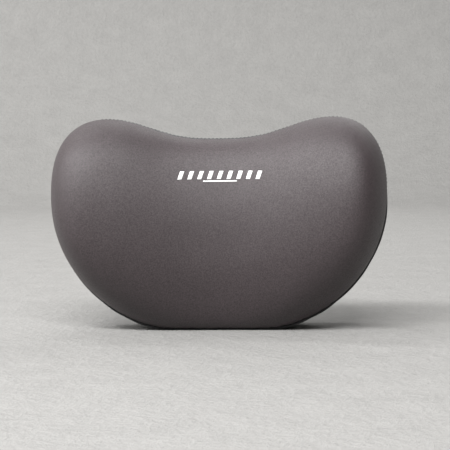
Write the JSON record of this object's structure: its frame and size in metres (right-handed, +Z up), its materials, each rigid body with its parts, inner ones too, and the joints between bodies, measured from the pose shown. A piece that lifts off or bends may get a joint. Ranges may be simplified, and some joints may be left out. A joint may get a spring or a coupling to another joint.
{
  "type": "chair headrest attachment",
  "caption": "Padded kidney-shaped headrest cushion with a knitted front, zipped mesh back and a buckled webbing strap that goes round a chair's backrest.",
  "frame": {"origin": "centre of the whole part's box, on the surface that the cushion stands on", "axes": "+Z up, +X to the right of someone facing the padded front, and the front faces -Y"},
  "size_m": [0.305, 0.1283, 0.1915],
  "materials": {
    "foam": "matte",
    "liner": "matte",
    "knit": "satin",
    "mesh": "matte",
    "binding": "matte",
    "print": "satin",
    "tape": "matte",
    "teeth": "satin",
    "zip_metal": "satin",
    "webbing": "matte",
    "buckle": "satin",
    "label": "matte"
  },
  "bodies": {
    "cushion": {"foam_core": "foam", "liner_front": "liner", "liner_back": "liner", "cover_front": "knit", "cover_back_upper": "mesh", "cover_back_lower": "mesh", "seam_binding": "binding", "front_mark": "print", "zip_tape_upper": "tape", "zip_tape_lower": "tape", "zip_teeth_upper": "teeth", "zip_teeth_lower": "teeth", "zip_stops": "teeth", "strap_left": "webbing", "strap_right": "webbing", "strap_anchor_left": "webbing", "strap_anchor_right": "webbing", "buckle_female": "buckle", "care_label": "label"},
    "zip_slider": {"zip_slider": "zip_metal"},
    "zip_pull": {"zip_pull": "zip_metal"},
    "buckle_male": {"buckle_male": "buckle"},
    "prong_upper": {"buckle_prong_upper": "buckle"},
    "prong_lower": {"buckle_prong_lower": "buckle"},
    "keeper": {"strap_keeper": "buckle"}
  },
  "joints": [
    {"name": "zip_slide", "type": "slide", "parent": "cushion", "child": "zip_slider", "axis": [-1, 0, 0], "range_m": [0, 0.15], "deforming": ["zip_teeth_upper", "zip_teeth_lower"]},
    {"name": "zip_pull_swing", "type": "hinge", "parent": "zip_slider", "child": "zip_pull", "pos_m": [0.077, 0.0433, 0.06], "axis": [0, 0, -1], "range_deg": [0, 175]},
    {"name": "buckle_release", "type": "slide", "parent": "cushion", "child": "buckle_male", "axis": [1, 0, 0], "range_m": [0, 0.028], "deforming": ["strap_right", "buckle_prong_upper", "buckle_prong_lower"]},
    {"name": "prong_upper_press", "type": "hinge", "parent": "buckle_male", "child": "prong_upper", "pos_m": [0.0001, 0.06, 0.1063], "axis": [0, -1, 0], "range_deg": [0, 8], "stiffness_Nm_per_rad": 0.3},
    {"name": "prong_lower_press", "type": "hinge", "parent": "buckle_male", "child": "prong_lower", "pos_m": [0.0001, 0.06, 0.0877], "axis": [0, 1, 0], "range_deg": [0, 8], "stiffness_Nm_per_rad": 0.3},
    {"name": "keeper_slide", "type": "slide", "parent": "cushion", "child": "keeper", "axis": [1, 0, 0], "range_m": [-0.01, 0.008]}
  ],
  "couplings": [
    {"joint": "prong_lower_press", "follows": "prong_upper_press", "ratio": 1}
  ]
}
